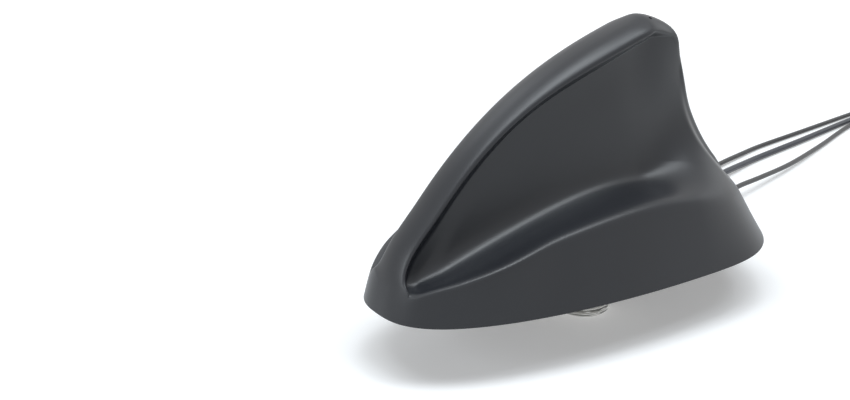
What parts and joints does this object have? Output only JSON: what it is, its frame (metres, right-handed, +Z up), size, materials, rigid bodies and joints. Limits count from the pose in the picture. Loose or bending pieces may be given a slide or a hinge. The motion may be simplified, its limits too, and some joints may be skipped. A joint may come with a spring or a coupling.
{
  "type": "combination roof antenna",
  "caption": "Fin-shaped roof antenna: moulded cover on a cast base, hollow slotted stud with clamp nut, boards inside and thin cables ending in plugs.",
  "frame": {"origin": "on the axis of the stud, in the plane of the underside of the base seal, where the roof is", "axes": "-X towards the nose of the cover, +Z up away from the roof, +Y to the side the cables swing to"},
  "size_m": [0.4475, 0.1494, 0.0929],
  "materials": {
    "cover": "finely grained, dark grey",
    "rubber": "matte black",
    "cast_base": "as cast",
    "steel": "zinc plated",
    "board": "green solder mask",
    "tinned": "tinned",
    "ceramic": "fired, unglazed",
    "black_plastic": "satin",
    "brass": "rolled",
    "copper": "enamelled wire",
    "cable": "satin sheath",
    "cable_blue": "satin sheath"
  },
  "bodies": {
    "root": {"cover": "cover", "cover_seal": "rubber", "base_plate": "cast_base", "base_seal": "rubber", "stud": "steel", "stud_ring": "rubber", "clamp_washer": "steel", "clamp_nut": "steel", "cable_grommet": "rubber", "main_board": "board", "shield_can": "tinned", "patch_ceramic": "ceramic", "patch_electrode": "tinned", "patch_pin": "tinned", "fin_board": "board", "fin_holder": "black_plastic", "fin_contacts": "brass", "top_load": "brass", "loading_coil": "copper", "phone_element": "brass", "board_screws": "steel", "cover_screws": "steel", "cable_radio": "cable", "cable_gps": "cable_blue", "cable_phone": "cable", "plug_radio": "black_plastic", "plug_gps": "black_plastic", "plug_phone": "black_plastic", "plug_contacts": "brass"}
  },
  "joints": []
}
